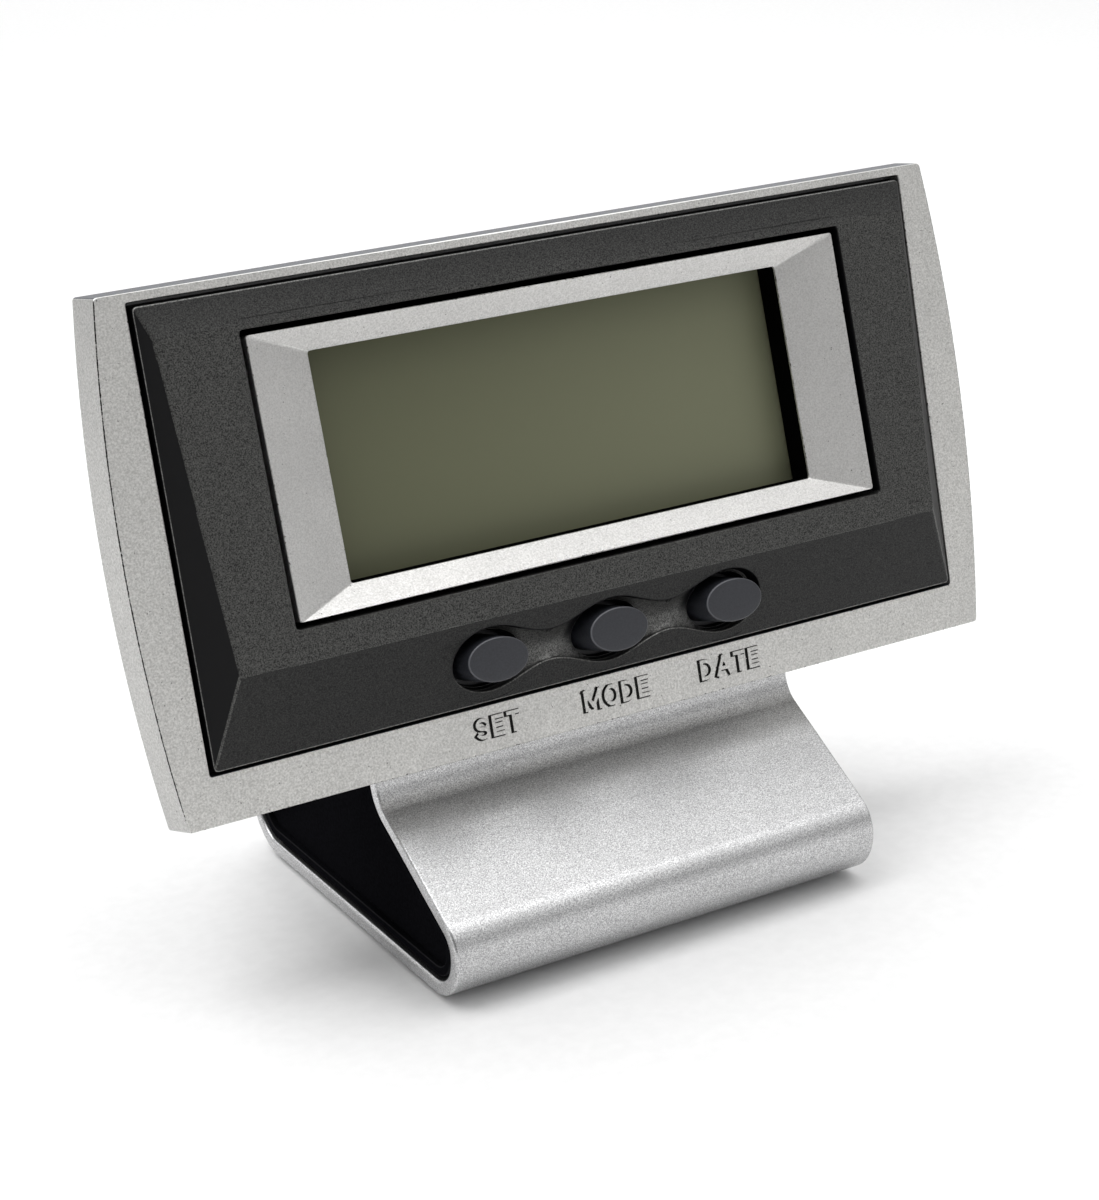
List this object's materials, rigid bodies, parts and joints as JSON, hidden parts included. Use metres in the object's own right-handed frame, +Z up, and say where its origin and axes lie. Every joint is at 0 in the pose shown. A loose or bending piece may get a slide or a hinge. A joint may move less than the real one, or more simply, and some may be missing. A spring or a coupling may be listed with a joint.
{
  "type": "digital desk clock",
  "caption": "Digital desk clock with a blank calendar display in a raised dark bezel and bowed silver frame, oval push keys under it, leaning back on a bent metal strip stand",
  "frame": {"origin": "middle of the part's outline on the table, under the stand", "axes": "+X to the reader's right, -Y towards the reader, +Z up; the display faces -Y and leans back"},
  "size_m": [0.085, 0.0426, 0.0618],
  "materials": {
    "silver_paint": "fine grained silver paint on moulded plastic",
    "bright_silver_paint": "smoother, brighter silver paint on moulded plastic",
    "charcoal_paint": "fine spark textured charcoal",
    "black_plastic": "moulded black plastic",
    "display_glass": "grey green display with a satin polariser",
    "reflector_foil": "satin reflector film",
    "conductive_rubber": "matte carbon loaded rubber",
    "key_rubber": "smooth satin blue grey",
    "silicone_rubber": "satin grey silicone sheet",
    "board_resin": "green solder resist",
    "chip_resin": "glossy black resin drop",
    "ceramic_body": "matte ceramic",
    "bright_steel": "bright nickel plated sheet",
    "screw_steel": "zinc plated",
    "satin_aluminium": "bead blasted and anodised satin silver",
    "pad_rubber": "matte foam rubber"
  },
  "bodies": {
    "clock": {"front_frame": "silver_paint", "lcd_frame": "bright_silver_paint", "bezel": "charcoal_paint", "lcd_mask": "black_plastic", "rear_cover": "black_plastic", "stand_core": "black_plastic", "lcd_front_glass": "display_glass", "lcd_rear_glass": "display_glass", "lcd_reflector": "reflector_foil", "zebra_strip_lower": "conductive_rubber", "zebra_strip_upper": "conductive_rubber", "keypad": "silicone_rubber", "circuit_board": "board_resin", "chip_blob": "chip_resin", "capacitor_1": "ceramic_body", "capacitor_2": "ceramic_body", "quartz_crystal": "bright_steel", "button_cell": "bright_steel", "battery_contact_negative": "bright_steel", "battery_contact_positive": "bright_steel", "case_screw_1": "screw_steel", "case_screw_2": "screw_steel", "case_screw_3": "screw_steel", "case_screw_4": "screw_steel", "board_screw_1": "screw_steel", "board_screw_2": "screw_steel", "stand_screw_1": "screw_steel", "stand_screw_2": "screw_steel", "foot_screw_1": "screw_steel", "foot_screw_2": "screw_steel", "stand_shell": "satin_aluminium", "base_pad": "pad_rubber"},
    "set_key": {"set_button": "key_rubber", "set_contact_pill": "conductive_rubber"},
    "mode_key": {"mode_button": "key_rubber", "mode_contact_pill": "conductive_rubber"},
    "date_key": {"date_button": "key_rubber", "date_contact_pill": "conductive_rubber"},
    "cell_door": {"battery_door": "black_plastic"}
  },
  "joints": [
    {"name": "set_press", "type": "slide", "parent": "clock", "child": "set_key", "axis": [0, 0.965, -0.2622], "range_m": [0, 0.0008], "stiffness_N_per_m": 900, "springref_m": -0.0002},
    {"name": "mode_press", "type": "slide", "parent": "clock", "child": "mode_key", "axis": [0, 0.965, -0.2622], "range_m": [0, 0.0008], "stiffness_N_per_m": 900, "springref_m": -0.0002},
    {"name": "date_press", "type": "slide", "parent": "clock", "child": "date_key", "axis": [0, 0.965, -0.2622], "range_m": [0, 0.0008], "stiffness_N_per_m": 900, "springref_m": -0.0002},
    {"name": "cell_door_hinge", "type": "hinge", "parent": "clock", "child": "cell_door", "pos_m": [0.0155, 0.00436, 0.0327], "axis": [-1, 0, 0], "range_deg": [0, 100]}
  ]
}
